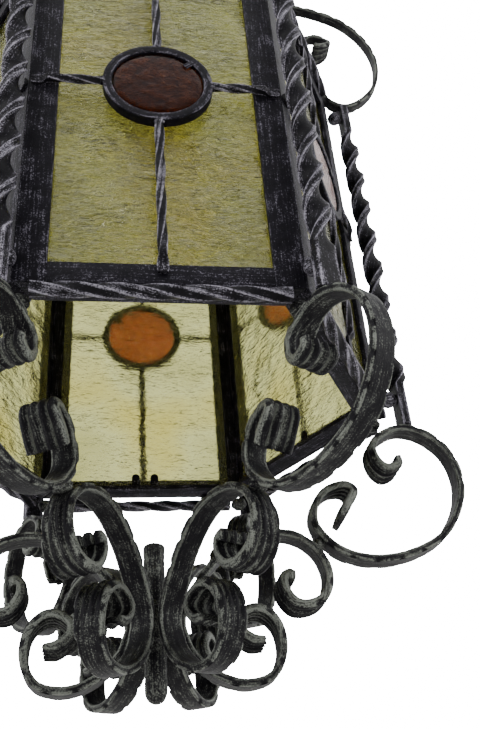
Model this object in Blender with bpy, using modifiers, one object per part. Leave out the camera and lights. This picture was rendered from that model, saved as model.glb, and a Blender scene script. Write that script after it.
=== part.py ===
"""Hexagonal wrought-iron hanging lantern with coloured glass, open below.

Six welded and glazed panels stand round a vertical axis. Twisted bars stand off the six corners on
ball spacers. Below each corner hangs a large C scroll and, inside it, a centre scroll whose back is
welded to a short rod. Above each corner a crown scroll runs in to a spindle with a lifting eye and
a loose ring. A lamp holder and a bulb hang from the spindle inside the roof.

Frame: +Z up, the axis of the lantern is Z, and the origin is where a hook bears in the loose ring.
Heights below are first measured from the middle of the bottom twisted bars, and one empty then
carries every piece down to the origin.
"""

import math

import bmesh
import bpy
from mathutils import Matrix, Vector

SIDES = 6
TURN = 2 * math.pi / SIDES
HALF_TURN = TURN / 2
CLEAR = 0.0003

# Glazed box
BOX_SIDE = 0.175
FRAME_BOTTOM = 0.007
FRAME_HEIGHT = 0.346
FRAME_DEPTH = 0.019
FRAME_WALL = 0.004
STILE_WIDTH = 0.0196
RAIL_WIDTH = 0.015
GLASS_THICKNESS = 0.003
GLASS_LAP = 0.007

# Grille in front of each pane
RING_OUTER_R = 0.038
RING_WALL = 0.0063
RING_DEPTH = 0.008
RING_PROUD = 0.0065
DISC_THICKNESS = 0.004
DISC_RECESS = 0.001
CROSSBAR = 0.005
CROSSBAR_QUARTER = 0.026
TAB_WIDTH = 0.0075
TAB_THICKNESS = 0.0025
TAB_LENGTH = 0.012
TAB_INSET = 0.0015

# Twisted bars along the bottom and top of the panels
EDGE_BAR = 0.0075
EDGE_BAR_QUARTER = 0.025
EDGE_BAR_OFFSET = 0.0014
EDGE_BAR_END = 0.011
SPACER_WIDTH = 0.012
SPACER_FROM_CORNER = 0.036

# Twisted corner posts
POST_WIDTH = 0.016
POST_THICKNESS = 0.007
POST_QUARTER = 0.0175
POST_FLAT_END = 0.036
BALL_R = 0.0065
BALL_SINK = 0.0006
BALL_FROM_END = 0.025

# Scrolls
SCROLL_WIDTH = 0.016
SCROLL_THICKNESS = 0.005
SCROLL_FLARE = 0.028
CROWN_WIDTH = 0.011
CROWN_THICKNESS = 0.004
CROWN_FLARE = 0.027
LOWER_CURL = 0.070
CENTRE_CURL = 0.105
CROWN_CURL = 0.045
SCROLL_STEPS = 2

# Rod at the bottom
ROD_R = 0.007
ROD_OVER_HUB = 0.0410
ROD_UNDER_HUB = 0.0330
HUB_LENGTH = 0.0270

# Roof, spindle, eye and ring
ROOF_OVERLAP = 0.010
ROOF_RISE = 0.044
ROOF_GLASS = 0.003
ROOF_HOLE_R = 0.012
HIP_WIDTH = 0.008
HIP_THICKNESS = 0.004
HIP_END = 0.004
COLLAR_R = 0.022
COLLAR_BORE_R = 0.008
COLLAR_HEIGHT = 0.006
SPINDLE_R = 0.0096
SPINDLE_FLANGE_R = 0.021
SPINDLE_FLANGE_H = 0.004
SPINDLE_HEIGHT = 0.130
CABLE_HOLE_R = 0.0035
CABLE_HOLE_UP = 0.018
EYE_R = 0.0105
EYE_WIRE_R = 0.0042
RING_R = 0.030
RING_WIRE_R = 0.004

# Lamp
NIPPLE_R = 0.005
NIPPLE_BORE_R = 0.0035
NIPPLE_GRIP = 0.020
NIPPLE_DROP = 0.067
HOLDER_R = 0.019
HOLDER_LENGTH = 0.056
HOLDER_WALL = 0.0015
INSERT_LENGTH = 0.016
CAP_R = 0.0130
CAP_LENGTH = 0.024
CAP_WALL = 0.001
BULB_R = 0.030
BULB_LENGTH = 0.080
GLASS_WALL = 0.0012
CONTACT_R = 0.0045
CONTACT_HEIGHT = 0.002

# Values that follow from those above
APOTHEM = BOX_SIDE * math.cos(HALF_TURN)
FRAME_TOP = FRAME_BOTTOM + FRAME_HEIGHT
TOP_BAR_Z = FRAME_TOP + FRAME_BOTTOM
DISC_Z = FRAME_BOTTOM + FRAME_HEIGHT / 2
OPENING_HALF_WIDTH = BOX_SIDE / 2 - STILE_WIDTH
OPENING_HALF_HEIGHT = FRAME_HEIGHT / 2 - RAIL_WIDTH
BALL_CENTRE_R = BOX_SIDE + CLEAR + BALL_R
POST_CENTRE_R = BALL_CENTRE_R + BALL_R - BALL_SINK + POST_THICKNESS / 2
BACK_R = (SCROLL_WIDTH / 2 * math.cos(HALF_TURN) + CLEAR / 2) / math.sin(HALF_TURN)
ROOF_R = BOX_SIDE - ROOF_OVERLAP
ROOF_TOP = FRAME_TOP + CLEAR + ROOF_RISE
ROOF_GLASS_RISE = ROOF_GLASS * math.hypot(1, ROOF_RISE / (ROOF_R - ROOF_HOLE_R) / math.cos(HALF_TURN))
COLLAR_TOP = ROOF_TOP + ROOF_GLASS_RISE + CLEAR + COLLAR_HEIGHT
SPINDLE_TOP = ROOF_TOP + SPINDLE_HEIGHT
EYE_Z = SPINDLE_TOP + EYE_R
RING_CONTACT_Z = EYE_Z + EYE_R - EYE_WIRE_R - CLEAR - RING_WIRE_R
HOOK_Z = RING_CONTACT_Z + 2 * RING_R - RING_WIRE_R
HOLDER_TOP = ROOF_TOP - NIPPLE_DROP

# Scroll patterns: the middle of each strip in thousandths of the box side, as (out from the axis, up).
# Heights start at the middle of the bottom bars, and the crown scroll's at the top bars.
LOWER_PATTERN = (
    (1015, -195), (1012, -235), (960, -257), (920, -217), (914, -149), (960, -91), (1051, -51),
    (1154, -74), (1240, -154), (1274, -269), (1251, -400), (1160, -531), (1017, -606), (863, -629),
    (726, -592), (640, -500), (640, -411), (691, -343), (766, -320), (806, -349), (771, -411),
    (737, -469),
)
CENTRE_LOWER_PATTERN = (
    (394, -937), (343, -931), (297, -891), (297, -851), (349, -814), (406, -823), (451, -880),
    (457, -971), (411, -1051), (314, -1074), (211, -1040), (131, -965),
)
CENTRE_BACK_PATTERN = ((8, -900), (0, -860), (8, -815))
CENTRE_UPPER_PATTERN = (
    (143, -737), (223, -629), (331, -543), (446, -514), (554, -531), (629, -589), (663, -669),
    (651, -749), (600, -800), (526, -806), (480, -754), (480, -703), (514, -686), (509, -720),
)
CROWN_PATTERN = (
    (971, 414), (1006, 406), (1063, 446), (1074, 503), (1023, 549), (960, 543), (926, 474),
    (949, 394), (977, 257), (989, 114), (1011, 0), (1097, -51), (1194, -6), (1286, 103),
    (1337, 246), (1343, 411), (1291, 577), (1189, 709), (1046, 789), (874, 834), (686, 846),
    (503, 800), (331, 709), (194, 594), (103, 474),
)
CROWN_FOOT_PATTERN = ((7, 385), (0, 330))


def clear_scene():
    for obj in list(bpy.data.objects):
        bpy.data.objects.remove(obj)


def collection(name):
    made = bpy.data.collections.new(name)
    bpy.context.scene.collection.children.link(made)
    return made


def material(name, colour, roughness, metallic):
    made = bpy.data.materials.new(name)
    made.use_nodes = True
    shader = made.node_tree.nodes["Principled BSDF"]
    shader.inputs["Base Color"].default_value = (*colour, 1)
    shader.inputs["Roughness"].default_value = roughness
    shader.inputs["Metallic"].default_value = metallic
    return made


def add(name, mesh, finish=None):
    """Puts a mesh in the scene as a visible piece, or as a helper when it has no finish."""
    obj = bpy.data.objects.new(name, mesh)
    if finish is None:
        helpers.objects.link(obj)
        obj.hide_render = True
        obj.display_type = "WIRE"
        return obj
    lantern.objects.link(obj)
    obj.parent = hook
    if not mesh.materials:
        mesh.materials.append(finish)
    return obj


def mesh_of(bm, name, smooth=False):
    mesh = bpy.data.meshes.new(name)
    bm.to_mesh(mesh)
    bm.free()
    if smooth:
        mesh.shade_smooth()
        mesh.set_sharp_from_angle(angle=math.radians(40))
    return mesh


def baked(obj):
    """The object's mesh with its modifiers applied and its place taken in; the object goes."""
    bpy.context.view_layer.update()
    graph = bpy.context.evaluated_depsgraph_get()
    mesh = bpy.data.meshes.new_from_object(obj.evaluated_get(graph))
    mesh.transform(obj.matrix_world)
    bm = bmesh.new()
    bm.from_mesh(mesh)
    bmesh.ops.remove_doubles(bm, verts=bm.verts, dist=1e-6)
    bm.to_mesh(mesh)
    bm.free()
    bpy.data.objects.remove(obj)
    return mesh


def combined(first, others, operation="UNION"):
    """One mesh made of the first helper and the others, joined to it or cut from it."""
    for index, other in enumerate(others):
        step = first.modifiers.new(f"step_{index}", "BOOLEAN")
        step.operation = operation
        step.object = other
    mesh = baked(first)
    for other in others:
        bpy.data.objects.remove(other)
    return mesh


def box(name, low, high):
    """A helper box between two corners."""
    bm = bmesh.new()
    bmesh.ops.create_cube(bm, size=1)
    size = Vector(high) - Vector(low)
    middle = (Vector(high) + Vector(low)) / 2
    bmesh.ops.scale(bm, vec=size, verts=bm.verts)
    bmesh.ops.translate(bm, vec=middle, verts=bm.verts)
    return add(name, mesh_of(bm, name))


def turned(name, profile, steps):
    """A helper turned about Z from a closed (radius, height) outline that runs down its outer side."""
    mesh = bpy.data.meshes.new(name)
    points = [(radius, 0, height) for radius, height in profile]
    on_axis = profile[0][0] == 0 and profile[-1][0] == 0
    edges = [(i, i + 1) for i in range(len(points) - 1)]
    if not on_axis:
        edges.append((len(points) - 1, 0))
    mesh.from_pydata(points, edges, [])
    obj = add(name, mesh)
    screw = obj.modifiers.new("turn", "SCREW")
    screw.steps = steps
    screw.render_steps = steps
    screw.use_merge_vertices = True
    screw.merge_threshold = 1e-5
    return obj


def twisted_bar(name, thickness, width, low, high, quarter, plain=0.0, steps=2):
    """A helper bar up Z, thickness in X and width in Y, twisted right-handed between its plain ends."""
    length = high - low
    twisted = length - 2 * plain
    quarters = 2 * max(1, round(twisted / quarter / 2))
    bm = bmesh.new()
    bmesh.ops.create_cube(bm, size=1)
    bmesh.ops.scale(bm, vec=(thickness, width, length), verts=bm.verts)
    sides = [edge for edge in bm.edges if abs(edge.verts[0].co.z - edge.verts[1].co.z) > length / 2]
    rows = quarters * steps
    cuts = rows + 1 if plain else rows - 1
    bmesh.ops.subdivide_edges(bm, edges=sides, cuts=cuts, use_grid_fill=True)
    heights = [-length / 2, *(twisted * (row / rows - 0.5) for row in range(rows + 1)), length / 2]
    if not plain:
        heights = heights[1:-1]
    for vert in bm.verts:
        row = round((vert.co.z / length + 0.5) * (len(heights) - 1))
        vert.co.z = heights[row]
        turn = (min(max(vert.co.z / twisted, -0.5), 0.5)) * quarters * math.pi / 2
        vert.co = Matrix.Rotation(turn, 3, "Z") @ vert.co
    bmesh.ops.translate(bm, vec=(0, 0, (low + high) / 2), verts=bm.verts)
    return add(name, mesh_of(bm, name))


def ball(name, centre, radius):
    bm = bmesh.new()
    bmesh.ops.create_uvsphere(bm, u_segments=8, v_segments=6, radius=radius)
    bmesh.ops.translate(bm, vec=centre, verts=bm.verts)
    return add(name, mesh_of(bm, name))


def smooth_line(points, steps):
    """A Catmull-Rom curve through the points, with this many steps between each two."""
    ends = [2 * points[0] - points[1], *points, 2 * points[-1] - points[-2]]
    line = []
    for a, b, c, d in zip(ends, ends[1:], ends[2:], ends[3:]):
        for step in range(steps):
            t = step / steps
            line.append(
                (2 * b + (c - a) * t + (2 * a - 5 * b + 4 * c - d) * t**2 + (3 * b - a - 3 * c + d) * t**3) / 2
            )
    line.append(points[-1])
    return line


def scroll(name, points, thickness, width, flare, curl, flared_ends=(1, 1)):
    """A flat bar bent along a line in XZ, and wider along the curls at its flared ends."""
    line = smooth_line(points, SCROLL_STEPS)
    reach = [0.0]
    for a, b in zip(line, line[1:]):
        reach.append(reach[-1] + (b - a).length)
    bm = bmesh.new()
    left = []
    for point, along in zip(line, reach):
        near = min([along] * flared_ends[0] + [reach[-1] - along] * flared_ends[1] + [curl])
        spread = (1 + math.cos(math.pi * near / curl)) / 2
        half = (width + (flare - width) * spread) / 2
        left.append(bm.verts.new(point - Vector((0, half, 0))))
    edges = [bm.edges.new(pair) for pair in zip(left, left[1:])]
    widened = bmesh.ops.extrude_edge_only(bm, edges=edges)
    for vert in (item for item in widened["geom"] if isinstance(item, bmesh.types.BMVert)):
        vert.co.y = -vert.co.y
    bmesh.ops.recalc_face_normals(bm, faces=bm.faces)
    obj = add(name, mesh_of(bm, name))
    shell = obj.modifiers.new("thickness", "SOLIDIFY")
    shell.thickness = thickness
    shell.offset = 0
    shell.use_even_offset = True
    return baked(obj)


def placed(pattern, start=(0.0, 0.0)):
    """A scroll pattern at its real size, moved out and up by the start."""
    return [
        Vector((start[0] + out / 1000 * BOX_SIDE, 0, start[1] + up / 1000 * BOX_SIDE))
        for out, up in pattern
    ]


def around(name, mesh, finish, first_angle=0.0):
    """Six copies of a piece about the axis, each its own object."""
    for index in range(SIDES):
        piece = add(f"{name}_{index + 1}", mesh, finish)
        piece.rotation_euler.z = first_angle + index * TURN


def panel_frame():
    """Welded frame that faces -Y: flat stiles, angle rails, and twisted bars on spacer blocks."""
    front = -APOTHEM
    half = BOX_SIDE / 2 - CLEAR / 2 / math.cos(HALF_TURN)
    bm = bmesh.new()
    bmesh.ops.create_cube(bm, size=1)
    for vert in bm.verts:
        inner = vert.co.y > 0
        reach = half - (FRAME_DEPTH * math.tan(HALF_TURN) if inner else 0)
        vert.co.x = math.copysign(reach, vert.co.x)
        vert.co.y = front + (FRAME_DEPTH if inner else 0)
        vert.co.z = FRAME_TOP if vert.co.z > 0 else FRAME_BOTTOM
    frame = add("frame_block", mesh_of(bm, "frame_block"))
    pocket = box(
        "pocket",
        (-BOX_SIDE, front + FRAME_WALL, FRAME_BOTTOM + FRAME_WALL),
        (BOX_SIDE, front + 2 * FRAME_DEPTH, FRAME_TOP - FRAME_WALL),
    )
    opening = box(
        "opening",
        (-OPENING_HALF_WIDTH, front - FRAME_WALL, DISC_Z - OPENING_HALF_HEIGHT),
        (OPENING_HALF_WIDTH, front + 2 * FRAME_WALL, DISC_Z + OPENING_HALF_HEIGHT),
    )
    frame = add("frame_cut", combined(frame, [pocket, opening], "DIFFERENCE"))
    extras = []
    for level, edge in ((0.0, FRAME_BOTTOM), (TOP_BAR_Z, FRAME_TOP)):
        reach = BOX_SIDE / 2 - EDGE_BAR_END
        bar = twisted_bar(f"edge_bar_{len(extras)}", EDGE_BAR, EDGE_BAR, -reach, reach, EDGE_BAR_QUARTER)
        bar.matrix_world = (
            Matrix.Translation((0, front - EDGE_BAR_OFFSET, level)) @ Matrix.Rotation(math.pi / 2, 4, "Y")
        )
        extras.append(bar)
        low = min(level, edge) - (FRAME_WALL / 2 if edge < level else 0)
        high = max(level, edge) + (FRAME_WALL / 2 if edge > level else 0)
        for side in (-1, 1):
            near = side * (BOX_SIDE / 2 - SPACER_FROM_CORNER)
            far = near + side * SPACER_WIDTH
            extras.append(
                box(
                    f"spacer_{len(extras)}",
                    (min(near, far), front + CLEAR, low),
                    (max(near, far), front + EDGE_BAR, high),
                )
            )
    return combined(frame, extras)


def grille():
    """Ring with four twisted bars, whose flat ends lap onto the frame; it faces -Y."""
    face = -APOTHEM
    proud = face - RING_PROUD
    inner = RING_OUTER_R - RING_WALL
    ring = turned(
        "grille_ring",
        ((RING_OUTER_R, RING_DEPTH), (RING_OUTER_R, 0), (inner, 0), (inner, RING_DEPTH)),
        28,
    )
    ring.matrix_world = Matrix.Translation((0, proud, DISC_Z)) @ Matrix.Rotation(-math.pi / 2, 4, "X")
    back = CROSSBAR * math.sqrt(0.5)
    bar_y = face - CLEAR - back
    start = RING_OUTER_R - RING_WALL / 2
    ends = (
        ("up", 0, DISC_Z, FRAME_HEIGHT / 2 - RAIL_WIDTH / 2),
        ("right", math.pi / 2, DISC_Z, BOX_SIDE / 2 - TAB_INSET),
        ("down", math.pi, DISC_Z, FRAME_HEIGHT / 2 - RAIL_WIDTH / 2),
        ("left", -math.pi / 2, DISC_Z, BOX_SIDE / 2 - TAB_INSET),
    )
    pieces = []
    for name, turn, height, reach in ends:
        place = Matrix.Translation((0, bar_y, height)) @ Matrix.Rotation(turn, 4, "Y")
        stop = reach - TAB_LENGTH * 0.8
        bar = twisted_bar(f"bar_{name}", CROSSBAR, CROSSBAR, start, stop, CROSSBAR_QUARTER)
        bar.matrix_world = place
        tab = box(
            f"tab_{name}",
            (-TAB_WIDTH / 2, back - TAB_THICKNESS, reach - TAB_LENGTH),
            (TAB_WIDTH / 2, back, reach),
        )
        tab.matrix_world = place
        pieces += [bar, tab]
    return combined(ring, pieces)


def glass_pane():
    back = -APOTHEM + FRAME_WALL + CLEAR
    wide = OPENING_HALF_WIDTH + GLASS_LAP
    high = OPENING_HALF_HEIGHT + GLASS_LAP
    return baked(
        box("pane", (-wide, back, DISC_Z - high), (wide, back + GLASS_THICKNESS, DISC_Z + high))
    )


def disc_glass():
    bm = bmesh.new()
    radius = RING_OUTER_R - RING_WALL - CLEAR
    bmesh.ops.create_cone(
        bm, cap_ends=True, segments=24, radius1=radius, radius2=radius, depth=DISC_THICKNESS
    )
    middle = -APOTHEM - RING_PROUD + DISC_RECESS + DISC_THICKNESS / 2
    place = Matrix.Translation((0, middle, DISC_Z)) @ Matrix.Rotation(math.pi / 2, 4, "X")
    bmesh.ops.transform(bm, matrix=place, verts=bm.verts)
    return mesh_of(bm, "disc", smooth=True)


def corner_post():
    """Twisted bar on the +X corner with a ball spacer welded near each end."""
    low = max(point.z for point in smooth_line(lower_line, SCROLL_STEPS))
    low += SCROLL_THICKNESS / 2 + CLEAR
    high = min(point.z for point in smooth_line(crown_line, SCROLL_STEPS))
    high -= CROWN_THICKNESS / 2 + CLEAR
    post = twisted_bar(
        "post", POST_THICKNESS, POST_WIDTH, low, high, POST_QUARTER, plain=POST_FLAT_END, steps=3
    )
    post.location.x = POST_CENTRE_R
    balls = [
        ball(f"ball_{index}", (BALL_CENTRE_R, 0, z), BALL_R)
        for index, z in enumerate((low + BALL_FROM_END, high - BALL_FROM_END / 2))
    ]
    return combined(post, balls)


def lower_scroll():
    return scroll("lower", lower_line, SCROLL_THICKNESS, SCROLL_WIDTH, SCROLL_FLARE, LOWER_CURL)


def centre_scroll():
    back = placed(CENTRE_BACK_PATTERN, (BACK_R + SCROLL_THICKNESS / 2, 0))
    line = [*placed(CENTRE_LOWER_PATTERN), *back, *placed(CENTRE_UPPER_PATTERN)]
    return scroll("centre", line, SCROLL_THICKNESS, SCROLL_WIDTH, SCROLL_FLARE, CENTRE_CURL)


def crown_scroll():
    return scroll(
        "crown", crown_line, CROWN_THICKNESS, CROWN_WIDTH, CROWN_FLARE, CROWN_CURL, (1, 0)
    )


def finial_rod():
    """Short round rod with a welded hub that fills the space between the scrolls' backs."""
    hub_r = BACK_R - CLEAR
    middle = CENTRE_BACK_PATTERN[1][1] / 1000 * BOX_SIDE
    hub_top = middle + HUB_LENGTH / 2
    hub_bottom = middle - HUB_LENGTH / 2
    top = hub_top + ROD_OVER_HUB
    bottom = hub_bottom - ROD_UNDER_HUB
    profile = (
        (0, top),
        (ROD_R * 0.9, top),
        (ROD_R, top - ROD_R * 0.2),
        (ROD_R, hub_top),
        (hub_r, hub_top - ROD_R * 0.5),
        (hub_r, hub_bottom + ROD_R * 0.5),
        (ROD_R, hub_bottom),
        (ROD_R, bottom + ROD_R * 0.8),
        (ROD_R * 0.75, bottom + ROD_R * 0.25),
        (0, bottom),
    )
    return baked(turned("rod", profile, 24))


def roof_glass():
    """Shallow six-sided glass roof with a round hole at its top."""
    bm = bmesh.new()
    bmesh.ops.create_cone(
        bm, cap_ends=False, segments=SIDES, radius1=ROOF_R, radius2=ROOF_HOLE_R, depth=ROOF_RISE
    )
    first = next(vert for vert in bm.verts if vert.co.z < 0)
    bmesh.ops.rotate(
        bm, verts=bm.verts, matrix=Matrix.Rotation(-math.atan2(first.co.y, first.co.x), 3, "Z")
    )
    bmesh.ops.translate(bm, vec=(0, 0, ROOF_TOP - ROOF_RISE / 2), verts=bm.verts)
    obj = add("roof_sheet", mesh_of(bm, "roof_sheet"))
    sheet = obj.modifiers.new("sheet", "SOLIDIFY")
    sheet.thickness = ROOF_GLASS
    sheet.offset = 1
    sheet.use_even_offset = True
    return baked(obj)


def roof_frame():
    """Six flat hip bars over the roof glass, welded to a collar at the top."""
    run = ROOF_R - ROOF_HOLE_R
    slope = math.atan2(ROOF_RISE, run)
    lift = ROOF_GLASS_RISE + (CLEAR + HIP_THICKNESS / 2) / math.cos(slope)
    inner, outer = COLLAR_R - HIP_THICKNESS, ROOF_R - HIP_END
    length = (outer - inner) / math.cos(slope)
    middle = (inner + outer) / 2
    height = ROOF_TOP - ROOF_RISE * (middle - ROOF_HOLE_R) / run + lift
    bars = []
    for index in range(SIDES):
        bar = box(
            f"hip_{index}",
            (-length / 2, -HIP_WIDTH / 2, -HIP_THICKNESS / 2),
            (length / 2, HIP_WIDTH / 2, HIP_THICKNESS / 2),
        )
        bar.matrix_world = (
            Matrix.Rotation(index * TURN, 4, "Z")
            @ Matrix.Translation((middle, 0, height))
            @ Matrix.Rotation(slope, 4, "Y")
        )
        bars.append(bar)
    profile = (
        (COLLAR_R, COLLAR_TOP),
        (COLLAR_R, COLLAR_TOP - COLLAR_HEIGHT),
        (COLLAR_BORE_R, COLLAR_TOP - COLLAR_HEIGHT),
        (COLLAR_BORE_R, COLLAR_TOP),
    )
    return combined(turned("collar", profile, 24), bars)


def spindle():
    """Hollow column on the roof: flange, cable hole in its side, and a lifting eye on top."""
    bottom = COLLAR_TOP + CLEAR
    bore = NIPPLE_R + CLEAR
    profile = (
        (0, SPINDLE_TOP),
        (SPINDLE_R, SPINDLE_TOP),
        (SPINDLE_R, bottom + SPINDLE_FLANGE_H),
        (SPINDLE_FLANGE_R, bottom + SPINDLE_FLANGE_H),
        (SPINDLE_FLANGE_R, bottom),
        (bore, bottom),
        (bore, bottom + 2 * CABLE_HOLE_UP),
        (0, bottom + 2 * CABLE_HOLE_UP),
    )
    column = turned("column", profile, 24)
    bm = bmesh.new()
    bmesh.ops.create_cone(
        bm, cap_ends=True, segments=12, radius1=CABLE_HOLE_R, radius2=CABLE_HOLE_R, depth=2 * SPINDLE_R
    )
    place = Matrix.Translation((-SPINDLE_R, 0, bottom + 1.5 * CABLE_HOLE_UP)) @ Matrix.Rotation(
        math.pi / 2, 4, "Y"
    )
    bmesh.ops.transform(bm, matrix=place @ Matrix.Rotation(0, 4, "Z"), verts=bm.verts)
    hole = add("cable_hole", mesh_of(bm, "cable_hole"))
    column = add("column_cut", combined(column, [hole], "DIFFERENCE"))
    eye = torus("eye", EYE_R, EYE_WIRE_R, 20, 8)
    eye.matrix_world = Matrix.Translation((0, 0, EYE_Z)) @ Matrix.Rotation(math.pi / 2, 4, "X")
    return combined(column, [eye])


def torus(name, major, minor, around_steps, wire_steps):
    """A helper ring of round wire, lying in XY."""
    profile = [
        (major + minor * math.cos(angle), minor * math.sin(angle))
        for angle in (-2 * math.pi * step / wire_steps for step in range(wire_steps))
    ]
    return turned(name, profile, around_steps)


def hanging_ring():
    ring = torus("ring", RING_R, RING_WIRE_R, 28, 8)
    ring.matrix_world = Matrix.Translation((0, 0, RING_CONTACT_Z + RING_R)) @ Matrix.Rotation(
        math.pi / 2, 4, "Y"
    )
    return baked(ring)


def lamp_nipple():
    high = COLLAR_TOP + CLEAR + NIPPLE_GRIP
    low = HOLDER_TOP - CLEAR - INSERT_LENGTH * 0.25
    profile = ((NIPPLE_R, high), (NIPPLE_R, low), (NIPPLE_BORE_R, low), (NIPPLE_BORE_R, high))
    return baked(turned("nipple", profile, 20))


def lamp_holder():
    """Turned shell of the lamp holder, open at the bottom, with the nipple's hole in its crown."""
    inner = HOLDER_R - HOLDER_WALL
    hole = NIPPLE_R + CLEAR
    low = HOLDER_TOP - HOLDER_LENGTH
    shoulder = HOLDER_TOP - HOLDER_R * 0.35
    profile = (
        (hole, HOLDER_TOP),
        (HOLDER_R * 0.75, HOLDER_TOP),
        (HOLDER_R, shoulder),
        (HOLDER_R, low),
        (inner, low),
        (inner, shoulder - HOLDER_WALL * 0.3),
        (HOLDER_R * 0.75 - HOLDER_WALL * 0.6, HOLDER_TOP - HOLDER_WALL),
        (hole, HOLDER_TOP - HOLDER_WALL),
    )
    return baked(turned("holder", profile, 28))


def holder_insert():
    """Ceramic insert behind the bulb's cap."""
    outer = HOLDER_R - HOLDER_WALL - CLEAR
    high = HOLDER_TOP - HOLDER_R * 0.35 - 3 * HOLDER_WALL
    low = high - INSERT_LENGTH
    profile = (
        (0, high),
        (outer, high),
        (outer, low),
        (outer - HOLDER_WALL, low),
        (outer - HOLDER_WALL, low + INSERT_LENGTH / 3),
        (0, low + INSERT_LENGTH / 3),
    )
    return baked(turned("insert", profile, 24)), low + INSERT_LENGTH / 3


def bulb_contact(seat):
    high = seat - CLEAR
    profile = ((0, high), (CONTACT_R, high), (CONTACT_R, high - CONTACT_HEIGHT), (0, high - CONTACT_HEIGHT))
    return baked(turned("contact", profile, 16))


def bulb_cap(seat):
    """Thin cap, open below where the glass neck meets it."""
    high = seat - 2 * CLEAR - CONTACT_HEIGHT
    low = high - CAP_LENGTH
    shoulder = high - CAP_R * 0.3
    profile = (
        (0, high),
        (CAP_R * 0.5, high),
        (CAP_R, shoulder),
        (CAP_R, low),
        (CAP_R - CAP_WALL, low),
        (CAP_R - CAP_WALL, shoulder - CAP_WALL * 0.5),
        (CAP_R * 0.5, high - CAP_WALL),
        (0, high - CAP_WALL),
    )
    return baked(turned("cap", profile, 24)), low


def bulb_glass(high):
    """Blown pear-shaped bulb below its cap, open at the top of its neck."""
    top = high - CLEAR
    neck = CAP_R * 0.95
    centre = top - BULB_LENGTH + BULB_R
    shoulder = top - BULB_LENGTH * 0.08
    angles = [math.radians(degrees) for degrees in range(30, -90, -15)]
    inner_r = BULB_R - GLASS_WALL
    outside = [(BULB_R * math.cos(a), centre + BULB_R * math.sin(a)) for a in angles]
    inside = [(inner_r * math.cos(a), centre + inner_r * math.sin(a)) for a in reversed(angles)]
    profile = [(0, centre - inner_r), *inside, (neck - GLASS_WALL, shoulder), (neck - GLASS_WALL, top)]
    profile += [(neck, top), (neck, shoulder), *outside, (0, centre - BULB_R)]
    return baked(turned("bulb", profile, 20))


clear_scene()
lantern = collection("hanging_lantern")
helpers = collection("helpers")
lower_line = placed(LOWER_PATTERN)
crown_line = placed(CROWN_PATTERN, (0, TOP_BAR_Z))
crown_line += placed(CROWN_FOOT_PATTERN, (SPINDLE_R + CLEAR + CROWN_THICKNESS / 2, TOP_BAR_Z))

frame_iron = material("frame_iron", (0.045, 0.040, 0.055), 0.5, 0.6)
scroll_iron = material("scroll_iron", (0.060, 0.062, 0.058), 0.55, 0.6)
yellow_glass = material("yellow_glass", (0.56, 0.53, 0.24), 0.15, 0.0)
brown_glass = material("brown_glass", (0.20, 0.05, 0.02), 0.15, 0.0)
zinc_steel = material("zinc_steel", (0.55, 0.55, 0.53), 0.35, 1.0)
dark_phenolic = material("dark_phenolic", (0.015, 0.009, 0.006), 0.3, 0.0)
brass = material("brass", (0.70, 0.52, 0.24), 0.35, 1.0)
ceramic = material("ceramic", (0.85, 0.84, 0.80), 0.3, 0.0)
clear_glass = material("clear_glass", (0.92, 0.92, 0.90), 0.1, 0.0)

hook = bpy.data.objects.new("hook_point", None)
lantern.objects.link(hook)

around("panel_frame", panel_frame(), frame_iron)
around("glass_pane", glass_pane(), yellow_glass)
around("grille", grille(), frame_iron)
around("disc_glass", disc_glass(), brown_glass)
around("corner_post", corner_post(), frame_iron)
around("lower_scroll", lower_scroll(), scroll_iron)
around("centre_scroll", centre_scroll(), scroll_iron)
around("crown_scroll", crown_scroll(), scroll_iron)
add("finial_rod", finial_rod(), scroll_iron)
add("roof_glass", roof_glass(), yellow_glass)
add("roof_frame", roof_frame(), frame_iron)
add("crown_spindle", spindle(), frame_iron)
add("hanging_ring", hanging_ring(), frame_iron)
add("lamp_nipple", lamp_nipple(), zinc_steel)
add("lamp_holder", lamp_holder(), dark_phenolic)
insert_mesh, contact_seat = holder_insert()
add("holder_insert", insert_mesh, ceramic)
add("bulb_contact", bulb_contact(contact_seat), brass)
cap_mesh, cap_bottom = bulb_cap(contact_seat)
add("bulb_cap", cap_mesh, brass)
add("bulb_glass", bulb_glass(cap_bottom), clear_glass)

hook.location.z = -HOOK_Z
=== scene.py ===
"""Looks of the hexagonal wrought-iron lantern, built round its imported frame."""

import math

import bmesh
import bpy
from mathutils import Matrix, Vector, noise


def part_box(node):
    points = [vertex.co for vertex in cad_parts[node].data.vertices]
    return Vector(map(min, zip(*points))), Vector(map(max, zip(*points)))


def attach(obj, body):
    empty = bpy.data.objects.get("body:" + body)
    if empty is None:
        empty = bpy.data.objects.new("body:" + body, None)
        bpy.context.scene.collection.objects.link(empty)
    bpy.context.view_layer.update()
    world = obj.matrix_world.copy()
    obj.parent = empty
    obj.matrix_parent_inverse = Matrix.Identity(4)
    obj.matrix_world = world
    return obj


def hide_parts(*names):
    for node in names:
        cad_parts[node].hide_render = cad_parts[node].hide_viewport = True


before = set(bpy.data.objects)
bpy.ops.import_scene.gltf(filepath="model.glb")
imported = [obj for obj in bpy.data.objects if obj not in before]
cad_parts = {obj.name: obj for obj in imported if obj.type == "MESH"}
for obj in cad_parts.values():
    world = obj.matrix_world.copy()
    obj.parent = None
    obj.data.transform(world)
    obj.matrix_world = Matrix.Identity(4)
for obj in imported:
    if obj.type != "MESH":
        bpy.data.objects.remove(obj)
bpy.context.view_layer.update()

bpy.ops.object.select_all(action="DESELECT")


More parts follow.
